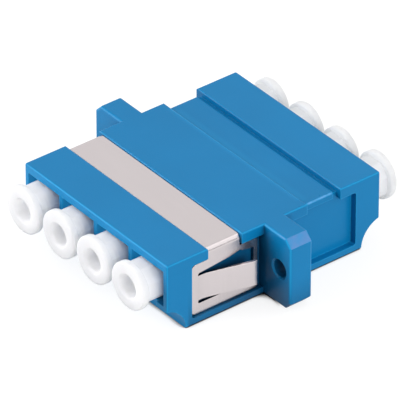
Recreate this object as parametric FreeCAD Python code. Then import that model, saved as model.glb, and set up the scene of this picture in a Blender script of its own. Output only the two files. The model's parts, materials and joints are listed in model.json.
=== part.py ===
import FreeCAD, Part
import math
import os

# Quad LC fibre adapter, single-mode, reduced flange, with steel panel clip
# and one dust cap in each of the eight ports.
#
# Millimetres.  +Z is up, the adapter lies on its flat underside at Z = 0.
# X runs across the row of ports, Y runs along them: the front ports open
# towards -Y, the rear ports towards +Y.  The origin is under the centre of
# the body.  The latch side of every port faces down.

# ---------------------------------------------------------------- body
BODY_W = 25.8            # across the ports
BODY_L = 30.0            # end face to end face
BODY_H = 9.3
HALF_W = BODY_W / 2.0
HALF_L = BODY_L / 2.0
EDGE_R = 0.25            # moulded outside edges
SPLIT_Y = 0.0            # welded joint between the two halves

# ---------------------------------------------------------------- ports
PITCH = 6.25             # LC port pitch
PORT_X = [-1.5 * PITCH, -0.5 * PITCH, 0.5 * PITCH, 1.5 * PITCH]
AXIS_Z = 6.0             # height of every optical axis
PORT_S = 4.62            # square bore for the plug body
PORT_H = PORT_S / 2.0
WEB_Y = 1.6              # half thickness of the wall between the two sides
MOUTH_HALF = 2.85        # half width at the flared mouth
MOUTH_DEPTH = 0.8        # length of the flare
NOTCH_W = 3.1            # latch slot at the mouth
NOTCH_Z = 1.3            # floor of the latch channel
SHOULDER = 2.4           # latch shoulder, measured from the end face
WINDOW_END_Y = 4.6       # inner end of the wide latch channel

# ---------------------------------------------------------------- barrels
BARREL_OD = 3.0
BARREL_END_Y = 4.0
BARREL_BORE = 1.70
SLEEVE_SEAT_Y = 3.46     # the bore runs to here, then the retaining lip
LIP_BORE = 1.36
BARREL_CHAMFER = 0.25

# ---------------------------------------------------------------- sleeves
SLEEVE_OD = 1.62
SLEEVE_ID = 1.246
SLEEVE_L = 6.8
SLEEVE_SLOT = 0.45

# ---------------------------------------------------------------- finger scoops
SCOOP_R = 3.3
SCOOP_OUT = 0.7          # scoop axis stands this far beyond the end face

# ---------------------------------------------------------------- clip seats
SEAT_Y0 = 4.6            # central block ends, seat begins
SEAT_Y1 = 9.3            # seat ends, end block begins
SEAT_Z = 8.8
SEAT_LIP_X = 12.26       # top lip cut back under the clip
SEAT_LIP_R = 0.32
RISER_R = 0.2
GROOVE_W = 0.55
GROOVE_Z = 8.58

# ---------------------------------------------------------------- side pockets
POCKET_X = 12.05         # pocket floor
POCKET_Z0 = 0.9          # rim below
POCKET_Z1 = 7.95         # lip above
POCKET_Y = 11.55         # far end of the pocket
POCKET_R = 0.35

# ---------------------------------------------------------------- flange ears
EAR_T = 1.55             # half thickness
EAR_OUT = 4.7            # reach beyond the body
EAR_CHAMFER = 0.95
EAR_R = 0.35
HOLE_X = 15.6
HOLE_Z = 4.75
HOLE_D = 2.2

# ---------------------------------------------------------------- panel clip
CLIP_T = 0.3
CLIP_X = 12.6            # outer face of the side plates
CLIP_TOP = 9.1           # outer face of the band
BEND_R = 0.65            # outside bend radius
BAND_Y0 = -9.22
BAND_Y1 = -4.68
PLATE_Z0 = 1.0
PLATE_Z1 = 7.65
PLATE_Y0 = -11.42
PLATE_Y1 = -2.2
PLATE_R = 0.7
SLOT_Y = -10.5           # root end of the lanced slots
WINDOW_Y = -2.68         # far end of the window
FINGER_Z0 = 2.75
FINGER_Z1 = 6.0
SLOT_LOW_Z = 2.33
FINGER_PATH = [(-10.5, 0.00), (-9.55, 0.02), (-9.1, 0.10), (-8.6, 0.23), (-7.8, 0.46),
               (-6.5, 0.84), (-5.3, 1.19), (-4.35, 1.47), (-3.95, 1.55), (-3.45, 1.57)]
# Upper edge of the window, from the slot's root to its far end.
WINDOW_TOP = [(-10.38, 6.36), (-6.1, 6.74), (-4.62, 7.06), (-4.34, 6.84), (-2.68, 6.60)]

# ---------------------------------------------------------------- dust caps
CAP_HEAD_D = 5.8
CAP_FACE = 2.8           # outer face of the head beyond the end face
CAP_HEAD_T = 0.98
CAP_EDGE_R = 0.24
CAP_SHANK_D = 4.9
CAP_FLAT = 2.28          # half width over the flats
CAP_DEPTH = 9.4          # how far the shank reaches into the port
CAP_EYE_D = 2.7          # blind hole in the head
CAP_EYE_DEPTH = 1.7
CAP_EYE_R = 0.35
CAP_EYE_FLOOR_R = 0.5
CAP_BORE_D = 3.4         # clears the barrel
CAP_BORE_DEPTH = 7.0
CAP_NOSE = 0.35          # chamfer at the inner end
# How much further out each cap sits than one pushed fully home.
FRONT_PROUD = (0.25, 0.0, 0.05, 0.0)
REAR_PROUD = (0.0, 0.05, 0.0, 0.25)

V = FreeCAD.Vector


def box(x0, x1, y0, y1, z0, z1):
    return Part.makeBox(x1 - x0, y1 - y0, z1 - z0, V(x0, y0, z0))


def prism(points, along, length):
    wire = Part.makePolygon(points + [points[0]])
    return Part.Face(wire).extrude(along * length)


def fillet_where(shape, radius, test):
    edges = [e for e in shape.Edges if test(e)]
    return shape.makeFillet(radius, edges)


def straight_along(edge, axis):
    if edge.Curve.TypeId != "Part::GeomLine":
        return False
    d = edge.Curve.Direction
    return abs(getattr(d, axis)) > 0.999


# ================================================================ housings
# The half that is built here has its ports towards -Y.  The other half is
# the same moulding turned half a revolution about Z.

def outer_block():
    block = box(-HALF_W, HALF_W, -HALF_L, 6.0, 0.0, BODY_H)
    block = block.makeFillet(EDGE_R, block.Edges)
    return block.common(box(-30, 30, -30, SPLIT_Y, -5, 20))


def ear(side):
    x_in = HALF_W - 0.85
    x_out = HALF_W + EAR_OUT
    pts = [V(x_in, -EAR_T, 0.0),
           V(x_out - EAR_CHAMFER, -EAR_T, 0.0),
           V(x_out, -EAR_T, EAR_CHAMFER),
           V(x_out, -EAR_T, BODY_H - EAR_CHAMFER),
           V(x_out - EAR_CHAMFER, -EAR_T, BODY_H),
           V(x_in, -EAR_T, BODY_H)]
    body = prism(pts, V(0, 1, 0), EAR_T + 2.0)

    def front_rim(e):
        b = e.BoundBox
        return (abs(b.YMin + EAR_T) < 1e-6 and abs(b.YMax + EAR_T) < 1e-6
                and b.XMax > x_in + 0.01)
    body = fillet_where(body, EAR_R, front_rim)
    body = body.common(box(-30, 30, -30, SPLIT_Y, -5, 20))
    hole = Part.makeCylinder(HOLE_D / 2.0, 10, V(HOLE_X, -5, HOLE_Z), V(0, 1, 0))
    rim = Part.makeCone(HOLE_D / 2.0 + 0.2, HOLE_D / 2.0, 0.2,
                        V(HOLE_X, -EAR_T, HOLE_Z), V(0, 1, 0))
    body = body.cut(hole).cut(rim)
    if side < 0:
        body = body.mirror(V(0, 0, 0), V(1, 0, 0))
    return body


def seat_cutter():
    # Section in the YZ plane.  Its shoulders flare outwards at the top, so
    # the edges of the two raised blocks come out rounded.
    y0, y1 = -SEAT_Y1, -SEAT_Y0
    zt = BODY_H
    r = RISER_R
    s = math.sqrt(0.5) * r
    p = [V(0, y0, GROOVE_Z), V(0, y0, zt - r), V(0, y0 - r, zt), V(0, y0 - r, zt + 1),
         V(0, y1 + r, zt + 1), V(0, y1 + r, zt), V(0, y1, zt - r), V(0, y1, SEAT_Z),
         V(0, y0 + GROOVE_W, SEAT_Z), V(0, y0 + GROOVE_W, GROOVE_Z)]
    arc0 = Part.Arc(p[1], V(0, y0 - r + s, zt - r + s), p[2]).toShape()
    arc1 = Part.Arc(p[5], V(0, y1 + r - s, zt - r + s), p[6]).toShape()
    edges = [Part.makeLine(p[0], p[1]), arc0, Part.makeLine(p[2], p[3]),
             Part.makeLine(p[3], p[4]), Part.makeLine(p[4], p[5]), arc1,
             Part.makeLine(p[6], p[7]), Part.makeLine(p[7], p[8]),
             Part.makeLine(p[8], p[9]), Part.makeLine(p[9], p[0])]
    face = Part.Face(Part.Wire(edges))
    face.translate(V(-20, 0, 0))
    return face.extrude(V(40, 0, 0))


def lip_cutter():
    # Takes the ends of the seat back, and rounds the corner that is left.
    zt = SEAT_Z
    r = SEAT_LIP_R
    x = SEAT_LIP_X
    s = math.sqrt(0.5) * r
    p = [V(x, 0, POCKET_Z1 - 0.5), V(x, 0, zt - r), V(x - r, 0, zt),
         V(x - r, 0, zt + 2), V(x + 3, 0, zt + 2), V(x + 3, 0, POCKET_Z1 - 0.5)]
    arc = Part.Arc(p[1], V(x - r + s, 0, zt - r + s), p[2]).toShape()
    edges = [Part.makeLine(p[0], p[1]), arc, Part.makeLine(p[2], p[3]),
             Part.makeLine(p[3], p[4]), Part.makeLine(p[4], p[5]),
             Part.makeLine(p[5], p[0])]
    face = Part.Face(Part.Wire(edges))
    face.translate(V(0, -SEAT_Y1, 0))
    right = face.extrude(V(0, SEAT_Y1 - SEAT_Y0, 0))
    notch = box(POCKET_X, HALF_W + 1, -SEAT_Y1, -SEAT_Y1 + GROOVE_W,
                POCKET_Z1 - 0.5, BODY_H + 1)
    right = right.fuse(notch)
    return [right, right.mirror(V(0, 0, 0), V(1, 0, 0))]


def pocket_cutter():
    pocket = box(POCKET_X, HALF_W + 2, -POCKET_Y, -EAR_T, POCKET_Z0, POCKET_Z1)

    def upright(e):
        b = e.BoundBox
        return straight_along(e, "x") and abs(b.YMin + POCKET_Y) < 1e-6
    pocket = fillet_where(pocket, POCKET_R, upright)
    return [pocket, pocket.mirror(V(0, 0, 0), V(1, 0, 0))]


def port_cutter(xc):
    bore = box(xc - PORT_H, xc + PORT_H, -HALF_L - 1, -WEB_Y,
               AXIS_Z - PORT_H, AXIS_Z + PORT_H)
    z0, z1 = AXIS_Z - PORT_H, AXIS_Z + PORT_H
    yf = -HALF_L
    flare = prism([V(xc - MOUTH_HALF, yf, z0), V(xc - PORT_H, yf + MOUTH_DEPTH, z0),
                   V(xc + PORT_H, yf + MOUTH_DEPTH, z0), V(xc + MOUTH_HALF, yf, z0),
                   V(xc + MOUTH_HALF, yf - 1, z0), V(xc - MOUTH_HALF, yf - 1, z0)],
                  V(0, 0, 1), z1 - z0)
    notch = box(xc - NOTCH_W / 2, xc + NOTCH_W / 2, -HALF_L - 1, -WINDOW_END_Y,
                NOTCH_Z, z0 + 0.5)
    window = box(xc - PORT_H, xc + PORT_H, -HALF_L + SHOULDER, -WINDOW_END_Y,
                 NOTCH_Z, z0 + 0.5)
    return [bore, flare, notch, window]


def barrel(xc):
    tube = Part.makeCylinder(BARREL_OD / 2, BARREL_END_Y - WEB_Y + 0.5,
                             V(xc, -BARREL_END_Y, AXIS_Z), V(0, 1, 0))

    def nose(e):
        b = e.BoundBox
        return abs(b.YMin + BARREL_END_Y) < 1e-6 and abs(b.YMax + BARREL_END_Y) < 1e-6
    edges = [e for e in tube.Edges if nose(e)]
    return tube.makeChamfer(BARREL_CHAMFER, edges)


def half_housing():
    body = outer_block()
    cutters = [seat_cutter()] + lip_cutter() + pocket_cutter()
    scoop = Part.makeCylinder(SCOOP_R, 60, V(-30, -HALF_L - SCOOP_OUT, 0), V(1, 0, 0))
    cutters.append(scoop)
    for xc in PORT_X:
        cutters += port_cutter(xc)
    for c in cutters:
        body = body.cut(c)
    body = body.fuse([barrel(xc) for xc in PORT_X] + [ear(1), ear(-1)])
    body = body.removeSplitter()
    for xc in PORT_X:
        seat = Part.makeCylinder(BARREL_BORE / 2, SLEEVE_SEAT_Y + 1,
                                 V(xc, -SLEEVE_SEAT_Y, AXIS_Z), V(0, 1, 0))
        lip = Part.makeCylinder(LIP_BORE / 2, 10, V(xc, -8, AXIS_Z), V(0, 1, 0))
        lead = Part.makeCone(LIP_BORE / 2 + 0.22, LIP_BORE / 2, 0.22,
                             V(xc, -BARREL_END_Y, AXIS_Z), V(0, 1, 0))
        body = body.cut(seat).cut(lip).cut(lead)
    body = body.removeSplitter()
    if body.ShapeType == "Compound" and len(body.Solids) == 1:
        body = body.Solids[0]
    return body


# ================================================================ panel clip

def panel_clip():
    t = CLIP_T
    xo, xi = CLIP_X, CLIP_X - t
    zo, zi = CLIP_TOP, CLIP_TOP - t
    ro, ri = BEND_R, BEND_R - t
    so, si = math.sqrt(0.5) * ro, math.sqrt(0.5) * ri
    zb = PLATE_Z1 - 1.0

    def line(a, b):
        return Part.makeLine(V(a[0], BAND_Y0, a[1]), V(b[0], BAND_Y0, b[1]))

    def arc(a, m, b):
        return Part.Arc(V(a[0], BAND_Y0, a[1]), V(m[0], BAND_Y0, m[1]),
                        V(b[0], BAND_Y0, b[1])).toShape()

    edges = [
        line((-xo, zb), (-xo, zo - ro)),
        arc((-xo, zo - ro), (-xo + ro - so, zo - ro + so), (-xo + ro, zo)),
        line((-xo + ro, zo), (xo - ro, zo)),
        arc((xo - ro, zo), (xo - ro + so, zo - ro + so), (xo, zo - ro)),
        line((xo, zo - ro), (xo, zb)),
        line((xo, zb), (xi, zb)),
        line((xi, zb), (xi, zi - ri)),
        arc((xi, zi - ri), (xi - ri + si, zi - ri + si), (xi - ri, zi)),
        line((xi - ri, zi), (-xi + ri, zi)),
        arc((-xi + ri, zi), (-xi + ri - si, zi - ri + si), (-xi, zi - ri)),
        line((-xi, zi - ri), (-xi, zb)),
        line((-xi, zb), (-xo, zb)),
    ]
    band = Part.Face(Part.Wire(edges)).extrude(V(0, BAND_Y1 - BAND_Y0, 0))

    plate = box(xi, xo, PLATE_Y0, PLATE_Y1, PLATE_Z0, PLATE_Z1)

    def front_corner(e):
        return straight_along(e, "x") and abs(e.BoundBox.YMin - PLATE_Y0) < 1e-6

    def rear_corner(e):
        return straight_along(e, "x") and abs(e.BoundBox.YMin - PLATE_Y1) < 1e-6
    plate = fillet_where(plate, PLATE_R, front_corner)
    plate = fillet_where(plate, 0.35, rear_corner)

    # Window that the finger was lanced from: its upper edge rises towards
    # the flange, with one step beside the band.
    win = [(SLOT_Y + 0.1, 5.98), (SLOT_Y, 6.16)] + WINDOW_TOP + [
           (WINDOW_Y, SLOT_LOW_Z), (SLOT_Y + 0.12, SLOT_LOW_Z),
           (SLOT_Y, 2.54), (SLOT_Y + 0.1, FINGER_Z0 + 0.02)]
    window = prism([V(xi - 1, y, z) for y, z in win], V(1, 0, 0), t + 2)
    plate = plate.cut(window)

    # Finger: one sprung strip, bent outwards, with a turned-in tip.
    def offset(path, d):
        out = []
        n = len(path)
        for i, (y, x) in enumerate(path):
            if i == 0:
                out.append((y, xi + (t if d else 0.0)))
                continue
            a = path[i - 1]
            b = path[min(i + 1, n - 1)]
            ty, tx = b[0] - a[0], b[1] - a[1]
            ln = math.hypot(ty, tx)
            ny, nx = -tx / ln, ty / ln
            out.append((y + ny * d, xi + x + nx * d))
        return out
    inner = offset(FINGER_PATH, 0.0)
    outer = offset(FINGER_PATH, t)

    def spline(points, z):
        c = Part.BSplineCurve()
        c.interpolate([V(x, y, z) for y, x in points])
        return c.toShape()
    zf = FINGER_Z0
    s_in = spline(inner, zf)
    s_out = spline(outer, zf)
    root = SLOT_Y - 0.6
    foot = [Part.makeLine(V(xi, root, zf), V(xi, inner[0][0], zf)), s_in,
            Part.makeLine(V(inner[-1][1], inner[-1][0], zf),
                          V(outer[-1][1], outer[-1][0], zf)),
            s_out,
            Part.makeLine(V(xo, outer[0][0], zf), V(xo, root, zf)),
            Part.makeLine(V(xo, root, zf), V(xi, root, zf))]
    wire = Part.Wire(Part.__sortEdges__(foot))
    finger = Part.Face(wire).extrude(V(0, 0, FINGER_Z1 - FINGER_Z0))

    side = plate.fuse(finger)
    other = side.mirror(V(0, 0, 0), V(1, 0, 0))
    clip = band.fuse([side, other]).removeSplitter()
    # The band must not close the window where the two overlap.
    above = ([(SLOT_Y + 0.12, 6.05)] + WINDOW_TOP + [(WINDOW_Y, 6.05)])
    for x in (xi - 0.01, -xo - 0.01):
        clip = clip.cut(prism([V(x, y, z) for y, z in above], V(1, 0, 0), t + 0.02))
    if clip.ShapeType == "Compound" and len(clip.Solids) == 1:
        clip = clip.Solids[0]
    return clip


# ================================================================ sleeves

def split_sleeve(xc):
    tube = Part.makeCylinder(SLEEVE_OD / 2, SLEEVE_L, V(xc, -SLEEVE_L / 2, AXIS_Z), V(0, 1, 0))
    bore = Part.makeCylinder(SLEEVE_ID / 2, SLEEVE_L + 2, V(xc, -SLEEVE_L / 2 - 1, AXIS_Z), V(0, 1, 0))
    slot = box(xc - SLEEVE_SLOT / 2, xc + SLEEVE_SLOT / 2, -SLEEVE_L, SLEEVE_L,
               AXIS_Z, AXIS_Z + SLEEVE_OD)
    return tube.cut(bore).cut(slot)


# ================================================================ dust caps

def dust_cap(xc, proud):
    face_y = -HALF_L - CAP_FACE
    head = Part.makeCylinder(CAP_HEAD_D / 2, CAP_HEAD_T, V(xc, face_y, AXIS_Z), V(0, 1, 0))
    head = head.makeFillet(CAP_EDGE_R, [e for e in head.Edges
                                        if e.Curve.TypeId == "Part::GeomCircle"])
    length = CAP_FACE - CAP_HEAD_T + CAP_DEPTH
    y0 = face_y + CAP_HEAD_T - 0.3
    shank = Part.makeCylinder(CAP_SHANK_D / 2, length + 0.3, V(xc, y0, AXIS_Z), V(0, 1, 0))
    nose = [e for e in shank.Edges if abs(e.BoundBox.YMin - (y0 + length + 0.3)) < 1e-6]
    shank = shank.makeChamfer(CAP_NOSE, nose)
    shank = shank.common(box(xc - CAP_FLAT, xc + CAP_FLAT, -60, 60,
                             AXIS_Z - CAP_FLAT, AXIS_Z + CAP_FLAT))
    cap = head.fuse(shank).removeSplitter()
    eye = Part.makeCylinder(CAP_EYE_D / 2, CAP_EYE_DEPTH + 1,
                            V(xc, face_y - 1, AXIS_Z), V(0, 1, 0))
    end = [e for e in eye.Edges if abs(e.BoundBox.YMin - (face_y + CAP_EYE_DEPTH)) < 1e-6]
    eye = eye.makeFillet(CAP_EYE_FLOOR_R, end)
    cap = cap.cut(eye)
    rim = [e for e in cap.Edges
           if abs(e.BoundBox.YMin - face_y) < 1e-6 and abs(e.BoundBox.YMax - face_y) < 1e-6
           and e.BoundBox.XLength < CAP_EYE_D + 0.1]
    cap = cap.makeFillet(CAP_EYE_R, rim)
    end_y = -HALF_L + CAP_DEPTH
    bore = Part.makeCylinder(CAP_BORE_D / 2, CAP_BORE_DEPTH + 1,
                             V(xc, end_y - CAP_BORE_DEPTH, AXIS_Z), V(0, 1, 0))
    cap = cap.cut(bore)
    if cap.ShapeType == "Compound" and len(cap.Solids) == 1:
        cap = cap.Solids[0]
    cap.translate(V(0, -proud, 0))
    return cap


def turned(shape):
    s = shape.copy()
    s.rotate(V(0, 0, 0), V(0, 0, 1), 180)
    return s


front = half_housing()
pieces = {
    "front_housing": front,
    "rear_housing": turned(front),
    "panel_clip": panel_clip(),
}
for i, xc in enumerate(PORT_X):
    pieces["split_sleeve_%d" % (i + 1)] = split_sleeve(xc)
    pieces["dust_cap_front_%d" % (i + 1)] = dust_cap(xc, FRONT_PROUD[i])
    pieces["dust_cap_rear_%d" % (i + 1)] = turned(dust_cap(-xc, REAR_PROUD[i]))

os.makedirs("parts", exist_ok=True)
for name, shape in pieces.items():
    solids = shape.Solids
    print("%-18s valid %s solids %d volume %.3f box %.2f..%.2f %.2f..%.2f %.2f..%.2f" % (
        name, shape.isValid(), len(solids), shape.Volume,
        shape.BoundBox.XMin, shape.BoundBox.XMax, shape.BoundBox.YMin,
        shape.BoundBox.YMax, shape.BoundBox.ZMin, shape.BoundBox.ZMax))
    shape.exportStep("parts/%s.step" % name)
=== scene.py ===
import json
import math

import bpy
from mathutils import Matrix, Vector

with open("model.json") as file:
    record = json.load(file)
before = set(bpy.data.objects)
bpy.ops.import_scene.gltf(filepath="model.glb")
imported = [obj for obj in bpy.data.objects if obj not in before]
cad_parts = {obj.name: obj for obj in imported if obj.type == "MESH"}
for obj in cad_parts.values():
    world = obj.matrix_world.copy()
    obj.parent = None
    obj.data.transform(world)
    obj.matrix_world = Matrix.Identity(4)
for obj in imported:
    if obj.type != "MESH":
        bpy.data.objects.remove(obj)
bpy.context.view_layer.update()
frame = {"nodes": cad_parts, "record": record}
NODES = frame["nodes"]
MM = 0.001


# ------------------------------------------------------------------ node help
class Graph:
    """Short-hand for building a procedural material."""

    def __init__(self, name):
        self.mat = bpy.data.materials.new(name)
        self.mat.use_nodes = True
        self.tree = self.mat.node_tree
        self.tree.nodes.clear()
        self.out = self.node("ShaderNodeOutputMaterial")
        self.bsdf = self.node("ShaderNodeBsdfPrincipled")
        self.link(self.bsdf.outputs["BSDF"], self.out.inputs["Surface"])
        self.coord = self.node("ShaderNodeTexCoord").outputs["Object"]

    def node(self, kind, **props):
        n = self.tree.nodes.new(kind)
        for k, v in props.items():
            setattr(n, k, v)
        return n

    def link(self, a, b):
        self.tree.links.new(a, b)

    def scaled(self, x, y, z, rot=(0, 0, 0)):
        m = self.node("ShaderNodeMapping")
        m.inputs["Scale"].default_value = (x, y, z)
        m.inputs["Rotation"].default_value = rot
        self.link(self.coord, m.inputs["Vector"])
        return m.outputs["Vector"]

    def noise(self, vector, scale, detail=2.0, rough=0.5, distortion=0.0):
        n = self.node("ShaderNodeTexNoise")
        n.inputs["Scale"].default_value = scale
        n.inputs["Detail"].default_value = detail
        n.inputs["Roughness"].default_value = rough
        n.inputs["Distortion"].default_value = distortion
        self.link(vector, n.inputs["Vector"])
        return n.outputs["Fac"]

    def spread(self, value, lo, hi, lo_in=0.3, hi_in=0.7):
        m = self.node("ShaderNodeMapRange")
        m.clamp = True
        m.inputs["From Min"].default_value = lo_in
        m.inputs["From Max"].default_value = hi_in
        m.inputs["To Min"].default_value = lo
        m.inputs["To Max"].default_value = hi
        self.link(value, m.inputs["Value"])
        return m.outputs["Result"]

    def math(self, op, a, b=None):
        m = self.node("ShaderNodeMath", operation=op)
        for i, v in enumerate((a, b)):
            if v is None:
                continue
            if isinstance(v, (int, float)):
                m.inputs[i].default_value = v
            else:
                self.link(v, m.inputs[i])
        return m.outputs[0]

    def mix_color(self, fac, a, b):
        m = self.node("ShaderNodeMix", data_type="RGBA")
        self.link(fac, m.inputs["Factor"]) if not isinstance(fac, float) else setattr(
            m.inputs["Factor"], "default_value", fac)
        for sock, v in (("A", a), ("B", b)):
            s = [i for i in m.inputs if i.name == sock and i.type == "RGBA"][0]
            if isinstance(v, tuple):
                s.default_value = (*v, 1.0)
            else:
                self.link(v, s)
        return [o for o in m.outputs if o.type == "RGBA"][0]

    def bevel(self, radius, samples=6):
        b = self.node("ShaderNodeBevel", samples=samples)
        b.inputs["Radius"].default_value = radius
        return b.outputs["Normal"]

    def seamless(self, normal, reach):
        """Keep the true surface normal within reach of the weld plane, Y = 0."""
        sep = self.node("ShaderNodeSeparateXYZ")
        self.link(self.coord, sep.inputs[0])
        near = self.math("LESS_THAN", self.math("ABSOLUTE", sep.outputs["Y"]), reach)
        m = self.node("ShaderNodeMix", data_type="VECTOR")
        self.link(near, m.inputs["Factor"])
        a, b = [i for i in m.inputs if i.type == "VECTOR" and i.name in "AB"]
        self.link(normal, a)
        self.link(self.node("ShaderNodeNewGeometry").outputs["Normal"], b)
        return [o for o in m.outputs if o.type == "VECTOR"][0]

    def edge(self, radius, samples=6):
        """0 on flat square faces, rising to 1 on a corner, sharp or rounded."""
        dot = self.node("ShaderNodeVectorMath", operation="DOT_PRODUCT")
        self.link(self.seamless(self.bevel(radius, samples), 0.0004), dot.inputs[0])
        self.link(self.node("ShaderNodeNewGeometry").outputs["Normal"], dot.inputs[1])
        sharp = self.spread(dot.outputs["Value"], 1.0, 0.0, 0.80, 0.995)
        n = self.node("ShaderNodeSeparateXYZ")
        self.link(self.node("ShaderNodeTexCoord").outputs["Normal"], n.inputs[0])
        x, y, z = (self.math("ABSOLUTE", n.outputs[i]) for i in range(3))
        most = self.math("MAXIMUM", self.math("MAXIMUM", x, y), z)
        return self.math("MAXIMUM", sharp, self.spread(most, 1.0, 0.0, 0.78, 0.985))

    def crevice(self, distance, samples=8):
        """1 in the open, falling to 0 deep in a corner or slot."""
        ao = self.node("ShaderNodeAmbientOcclusion", samples=samples)
        ao.inputs["Distance"].default_value = distance
        return ao.outputs["AO"]

    def bump(self, height, strength, distance, normal=None):
        b = self.node("ShaderNodeBump")
        b.inputs["Strength"].default_value = strength
        b.inputs["Distance"].default_value = distance
        self.link(height, b.inputs["Height"])
        if normal is not None:
            self.link(normal, b.inputs["Normal"])
        return b.outputs["Normal"]

    def set(self, **values):
        for k, v in values.items():
            s = self.bsdf.inputs[k.replace("_", " ")]
            if isinstance(v, (int, float)):
                s.default_value = v
            elif isinstance(v, tuple):
                s.default_value = v if len(v) == 3 and s.type == "VECTOR" else (*v, 1.0)
            else:
                self.link(v, s)


def srgb(r, g, b):
    def lin(c):
        c /= 255.0
        return c / 12.92 if c <= 0.04045 else ((c + 0.055) / 1.055) ** 2.4
    return (lin(r), lin(g), lin(b))


# ------------------------------------------------------------------ materials
def blue_plastic():
    g = Graph("blue_plastic")
    broad = g.noise(g.scaled(1, 1, 1), 90.0, 3.0, 0.55)
    fine = g.noise(g.scaled(1, 1, 1), 2600.0, 2.0, 0.6)
    flow = g.noise(g.scaled(1.0, 0.18, 1.0), 420.0, 3.0, 0.6, 0.4)
    base = g.mix_color(g.spread(broad, 0.0, 1.0, 0.35, 0.65),
                       (0.001, 0.198, 0.456), (0.002, 0.213, 0.488))
    tint = g.mix_color(g.spread(flow, 0.0, 0.35, 0.4, 0.75), base, (0.001, 0.205, 0.472))
    # Painted shade: the outer sides are darkened in their deep corners, beside the clip and ears, by an
    # ambient-occlusion mask.
    ao = g.crevice(0.008)
    open_air = g.spread(ao, 0.22, 1.0, 0.30, 0.78)
    sep = g.node("ShaderNodeSeparateXYZ")
    g.link(g.coord, sep.inputs[0])
    side = g.spread(g.math("ABSOLUTE", sep.outputs["X"]), 1.0, 0.0, 0.01185, 0.0120)
    rear = g.spread(sep.outputs["Y"], 0.0, 1.0, 0.0005, 0.0025)
    fore = g.spread(sep.outputs["Y"], 1.0, 0.0, -0.0122, -0.0115)
    away = g.math("MAXIMUM", side, g.math("MAXIMUM", rear, fore))
    shade = g.math("MAXIMUM", open_air, away)
    tint = g.mix_color(shade, (0.0015, 0.018, 0.060), tint)
    # Painted highlight: corners and rounded edges are made paler.
    corner = g.math("MULTIPLY", g.edge(0.00030), g.spread(shade, 0.0, 1.0, 0.72, 0.98))
    # Painted highlight on the rounded lips of the rear clip seat.
    lip_highlight = g.math("MULTIPLY", corner, g.spread(sep.outputs["Z"], 0.0, 1.0, 0.0082, 0.0085))
    lip_highlight = g.math("MULTIPLY", lip_highlight, g.math("MULTIPLY", g.spread(sep.outputs["Y"], 0.0, 1.0, 0.0050, 0.0054),
                                         g.spread(sep.outputs["Y"], 1.0, 0.0, 0.0084, 0.0088)))
    lip_highlight = g.math("MULTIPLY", lip_highlight, g.spread(g.math("ABSOLUTE", sep.outputs["X"]), 0.0, 1.0, 0.0118, 0.0120))
    # The painted edge highlight is weakened on edges that run across the top, behind the clip.
    across = g.math("MULTIPLY", g.spread(g.math("ABSOLUTE", sep.outputs["X"]), 1.0, 0.0, 0.0114, 0.0118),
                    g.spread(sep.outputs["Y"], 0.0, 1.0, -0.0110, -0.0105))
    corner = g.math("MULTIPLY", corner, g.spread(across, 1.0, 0.20, 0.0, 1.0))
    corner = g.math("MULTIPLY", corner, g.spread(sep.outputs["X"], 0.35, 1.0, -0.0125, -0.0110))
    # It is also weakened on the rims of the screw holes in the ears.
    dx = g.math("SUBTRACT", g.math("ABSOLUTE", sep.outputs["X"]), 0.0156)
    dz = g.math("SUBTRACT", sep.outputs["Z"], 0.00475)
    away2 = g.math("ADD", g.math("MULTIPLY", dx, dx), g.math("MULTIPLY", dz, dz))
    corner = g.math("MULTIPLY", corner, g.spread(away2, 0.20, 1.0, 1.9e-6, 2.4e-6))
    # Painted highlight along the central block's rear edge, with painted light fading over the ledge
    # behind it.
    crest_highlight = g.spread(g.math("ABSOLUTE", g.math("SUBTRACT", sep.outputs["Y"], 0.00450)),
                     0.80, 0.0, 0.00010, 0.00024)
    ledge_light = g.spread(g.math("ABSOLUTE", g.math("SUBTRACT", sep.outputs["Y"], 0.00490)),
                    0.36, 0.0, 0.00030, 0.00110)
    corner = g.math("MAXIMUM", corner, g.math("MULTIPLY", g.math("MAXIMUM", crest_highlight, ledge_light), across))
    # Painted highlight: the corner mask mixes the blue towards a paler blue.
    tint = g.mix_color(g.math("MULTIPLY", corner, 0.45), tint, (0.015, 0.440, 0.860))
    # Painted shade: short walls behind the flange that face forward are darkened.
    face = g.node("ShaderNodeSeparateXYZ")
    g.link(g.node("ShaderNodeTexCoord").outputs["Normal"], face.inputs[0])
    forward_wall_shade = g.math("MULTIPLY", g.spread(face.outputs["Y"], 1.0, 0.0, -0.9, -0.5),
                     g.spread(sep.outputs["Y"], 0.0, 1.0, 0.0030, 0.0035))
    tint = g.mix_color(g.math("MULTIPLY", forward_wall_shade, 0.62), tint, (0.0005, 0.135, 0.330))
    # Painted light: the port end face is made a little paler. Painted highlight: the ears' chamfers get
    # patchy pale tints.
    front = g.math("MULTIPLY", g.spread(face.outputs["Y"], 1.0, 0.0, -0.98, -0.9),
                   g.spread(sep.outputs["Y"], 1.0, 0.0, -0.0149, -0.0145))
    tint = g.mix_color(g.math("MULTIPLY", front, 0.13), tint, (0.015, 0.440, 0.860))
    chamfer_highlight = g.math("MULTIPLY", g.spread(face.outputs["Z"], 0.0, 1.0, 0.55, 0.65),
                   g.spread(face.outputs["Z"], 1.0, 0.0, 0.75, 0.85))
    chamfer_highlight = g.math("MULTIPLY", chamfer_highlight, g.math("MULTIPLY",
                   g.spread(sep.outputs["X"], 0.0, 1.0, 0.0150, 0.0160),
                   g.spread(sep.outputs["Z"], 0.0, 1.0, 0.0070, 0.0075)))
    glint_patches = g.spread(g.noise(g.scaled(1, 1, 1), 900.0, 3.0, 0.6), 0.45, 1.0, 0.35, 0.65)
    tint = g.mix_color(g.math("MULTIPLY", chamfer_highlight, glint_patches), tint, (0.110, 0.280, 0.610))
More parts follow.
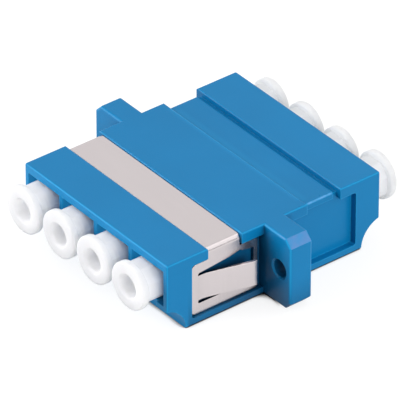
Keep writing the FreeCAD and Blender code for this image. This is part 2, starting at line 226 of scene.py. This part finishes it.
    # Painted highlight on the rear seat lips, in the same patches.
    tint = g.mix_color(g.math("MULTIPLY", lip_highlight, glint_patches), tint, (0.140, 0.420, 0.800))
    rough = g.math("ADD", g.spread(broad, 0.30, 0.36), g.spread(fine, -0.03, 0.03))
    rough = g.math("ADD", rough, g.math("MULTIPLY", corner, 0.07))
    grain = g.bump(fine, 0.10, 0.00002, g.seamless(g.bevel(0.00010), 0.0003))
    normal = g.bump(flow, 0.06, 0.00005, grain)
    g.set(Base_Color=tint, Roughness=rough, Normal=normal, IOR=1.50,
          Specular_IOR_Level=0.21)
    return g.mat


def spring_steel():
    g = Graph("spring_steel")
    # Rolling lines run along the strip: across the top (X), down the sides (Z).
    lines = g.noise(g.scaled(1.0, 60.0, 1.0), 160.0, 4.0, 0.65)
    hair = g.noise(g.scaled(1.0, 40.0, 1.0), 900.0, 2.0, 0.5)
    cloud = g.noise(g.scaled(1, 1, 1), 130.0, 3.0, 0.5)
    base = g.mix_color(g.spread(lines, 0.0, 1.0, 0.35, 0.65),
                       (0.740, 0.680, 0.688), (0.768, 0.704, 0.712))
    # Painted shade and dark reflection: the metal is darkened in its deep corners, below the fingers.
    base = g.mix_color(g.spread(g.crevice(0.003), 0.0, 1.0, 0.34, 0.64), (0.060, 0.056, 0.070), base)
    rough = g.math("ADD", g.spread(lines, 0.22, 0.26), g.spread(cloud, -0.02, 0.03))
    n1 = g.bump(lines, 0.04, 0.00001, g.bevel(0.00004))
    n2 = g.bump(hair, 0.03, 0.000005, n1)
    g.set(Base_Color=base, Metallic=1.0, Roughness=rough, Normal=n2)
    return g.mat


def white_plastic():
    g = Graph("white_plastic")
    broad = g.noise(g.scaled(1, 1, 1), 240.0, 3.0, 0.55)
    fine = g.noise(g.scaled(1, 1, 1), 3000.0, 2.0, 0.6)
    base = g.mix_color(g.spread(broad, 0.0, 1.0, 0.35, 0.65),
                       (0.835, 0.824, 0.848), (0.868, 0.857, 0.880))
    # Painted light: the inside of the blind eyes is made lighter.
    # Painted shade: the shanks are made grey where they enter the front ports.
    sep = g.node("ShaderNodeSeparateXYZ")
    g.link(g.coord, sep.inputs[0])
    head = g.spread(g.math("ABSOLUTE", sep.outputs["Y"]), 0.0, 1.0, 0.0161, 0.0163)
    deep = g.spread(g.crevice(0.0030, 12), 1.0, 0.0, 0.40, 0.85)
    base = g.mix_color(g.math("MULTIPLY", head, deep), base, (0.985, 0.978, 0.992))
    port_entry_shade = g.math("MULTIPLY", g.spread(sep.outputs["Y"], 0.0, 1.0, -0.0159, -0.0156), deep)
    port_entry_shade = g.math("MULTIPLY", port_entry_shade, g.spread(sep.outputs["Y"], 1.0, 0.0, -0.0010, 0.0))
    base = g.mix_color(port_entry_shade, base, (0.70, 0.71, 0.76))
    # Painted light: the rear caps are made lighter.
    rear = g.spread(sep.outputs["Y"], 0.0, 0.75, 0.0, 0.0010)
    base = g.mix_color(rear, base, (0.965, 0.962, 0.972))
    rough = g.math("ADD", g.spread(broad, 0.44, 0.54), g.spread(fine, -0.03, 0.03))
    normal = g.bump(fine, 0.08, 0.00002, g.bevel(0.00008))
    g.set(Base_Color=base, Roughness=rough, Normal=normal, IOR=1.51, Specular_IOR_Level=0.20,
          Subsurface_Weight=1.0, Subsurface_Scale=0.0032)
    g.bsdf.inputs["Subsurface Radius"].default_value = (1.0, 1.0, 0.95)
    return g.mat


def zirconia():
    g = Graph("zirconia")
    broad = g.noise(g.scaled(1, 1, 1), 500.0, 3.0, 0.55)
    rings = g.noise(g.scaled(1.0, 30.0, 1.0), 400.0, 2.0, 0.5)
    base = g.mix_color(g.spread(broad, 0.0, 1.0, 0.35, 0.65),
                       (0.82, 0.81, 0.76), (0.88, 0.87, 0.83))
    rough = g.spread(rings, 0.12, 0.20)
    normal = g.bump(rings, 0.05, 0.00001, g.bevel(0.00004))
    g.set(Base_Color=base, Roughness=rough, Normal=normal, IOR=2.1,
          Subsurface_Weight=0.1, Subsurface_Scale=0.0004)
    return g.mat


MATS = {"blue_plastic": blue_plastic(), "spring_steel": spring_steel(),
        "white_plastic": white_plastic(), "zirconia": zirconia()}
SLOT = {s["node"]: s["material_slot"] for s in frame["record"]["subparts"]}
for name, obj in NODES.items():
    mat = MATS[SLOT[name]]
    if not obj.material_slots:
        obj.data.materials.append(mat)
    for s in obj.material_slots:
        s.material = mat


# ------------------------------------------------------------------ stage
def plane(name, size, location, rotation=(0, 0, 0)):
    me = bpy.data.meshes.new(name)
    h = size / 2
    me.from_pydata([(-h, -h, 0), (h, -h, 0), (h, h, 0), (-h, h, 0)], [], [(0, 1, 2, 3)])
    ob = bpy.data.objects.new(name, me)
    ob.location = location
    ob.rotation_euler = rotation
    bpy.context.scene.collection.objects.link(ob)
    return ob


floor = plane("floor", 4.0, (0, 0, -0.00002))
fg = Graph("floor_white")
fv = fg.noise(fg.scaled(1, 1, 1), 9.0, 2.0, 0.5)
# White paper that is lit from below: it stays white where the part's shadow is
# faint, and throws little light back on to the part's sides.
path = fg.node("ShaderNodeLightPath")
bounce = path.outputs["Is Diffuse Ray"]
glow = fg.math("SUBTRACT", 0.80, fg.math("MULTIPLY", path.outputs["Is Glossy Ray"], 0.20))
# Painted shadow: a thin dark contact shadow right where the part touches the floor.
clear = fg.spread(fg.crevice(0.0017, 16), 0.0, 1.0, 0.34, 0.60)
floor_at = fg.node("ShaderNodeSeparateXYZ")
fg.link(fg.coord, floor_at.inputs[0])
clear = fg.math("MAXIMUM", clear, fg.spread(
    fg.math("ABSOLUTE", floor_at.outputs["X"]), 0.0, 1.0, 0.0146, 0.0160))
paper = fg.mix_color(bounce, fg.mix_color(
    fg.spread(fv, 0.0, 1.0), (0.31, 0.31, 0.31), (0.33, 0.33, 0.33)), (0.38, 0.38, 0.38))
fg.set(Base_Color=fg.mix_color(clear, (0.02, 0.02, 0.03), paper),
       Roughness=0.9, Specular_IOR_Level=0.0, Emission_Color=(1.0, 1.0, 1.0),
       Emission_Strength=fg.math("MULTIPLY", clear, fg.math(
           "SUBTRACT", glow, fg.math("MULTIPLY", bounce, 0.63))))
floor.data.materials.append(fg.mat)

world = bpy.data.worlds.new("studio")
bpy.context.scene.world = world
world.use_nodes = True
wt = world.node_tree
wt.nodes.clear()


def wnode(kind, **props):
    n = wt.nodes.new(kind)
    for k, v in props.items():
        setattr(n, k, v)
    return n


# A white studio: dim all round, brighter towards the backdrop behind the part.
w_dir = wnode("ShaderNodeTexCoord").outputs["Generated"]
w_dot = wnode("ShaderNodeVectorMath", operation="DOT_PRODUCT")
w_dot.inputs[1].default_value = (-0.648, 0.509, 0.566)
wt.links.new(w_dir, w_dot.inputs[0])
w_map = wnode("ShaderNodeMapRange", interpolation_type="SMOOTHSTEP")
w_map.inputs["From Min"].default_value = 0.20
w_map.inputs["From Max"].default_value = 0.95
w_map.inputs["To Min"].default_value = 0.22
w_map.inputs["To Max"].default_value = 0.84
wt.links.new(w_dot.outputs["Value"], w_map.inputs["Value"])
bg = wnode("ShaderNodeBackground")
bg.inputs["Color"].default_value = (1.0, 1.0, 1.0, 1.0)
wt.links.new(w_map.outputs["Result"], bg.inputs["Strength"])
w_out = wnode("ShaderNodeOutputWorld")
wt.links.new(bg.outputs["Background"], w_out.inputs["Surface"])


def area(name, energy, size, location, target=(0, 0, 0.004), color=(1, 1, 1), size_y=None):
    d = bpy.data.lights.new(name, "AREA")
    d.energy = energy
    d.color = color
    d.size = size
    if size_y:
        d.shape = "RECTANGLE"
        d.size_y = size_y
    o = bpy.data.objects.new(name, d)
    bpy.context.scene.collection.objects.link(o)
    o.location = location
    v = Vector(target) - Vector(location)
    o.rotation_euler = v.to_track_quat("-Z", "Y").to_euler()
    return o


area("key_front_left", 4.60, 0.60, (-0.34, -0.50, 0.22))
area("accent_back_right", 0.97, 0.60, (0.34, 0.305, 0.39))
area("fill_right", 1.95, 0.40, (0.57, -0.03, 0.19))

# ------------------------------------------------------------------ camera
AZ, EL = math.radians(51.84), math.radians(34.461)
DIST = 0.760
back = Vector((math.sin(AZ) * math.cos(EL), -math.cos(AZ) * math.cos(EL), math.sin(EL)))
right = Vector((math.cos(AZ), math.sin(AZ), 0.0))
up = back.cross(right)
centre = Vector((0, 0, 0.00465)) + right * (-0.000253) + up * 0.000188
cd = bpy.data.cameras.new("camera")
cd.sensor_width = 36.0
cd.lens = 36.0 * 6820.0 / 400.0
cd.clip_start = 0.02
cd.clip_end = 10.0
cam = bpy.data.objects.new("camera", cd)
bpy.context.scene.collection.objects.link(cam)
rot = Matrix((right, up, back)).transposed()
cam.matrix_world = Matrix.Translation(centre + back * DIST) @ rot.to_4x4()
bpy.context.scene.camera = cam

sc = bpy.context.scene
sc.view_settings.view_transform = "Standard"
sc.view_settings.look = "None"
sc.view_settings.exposure = 0.0
sc.view_settings.gamma = 1.0
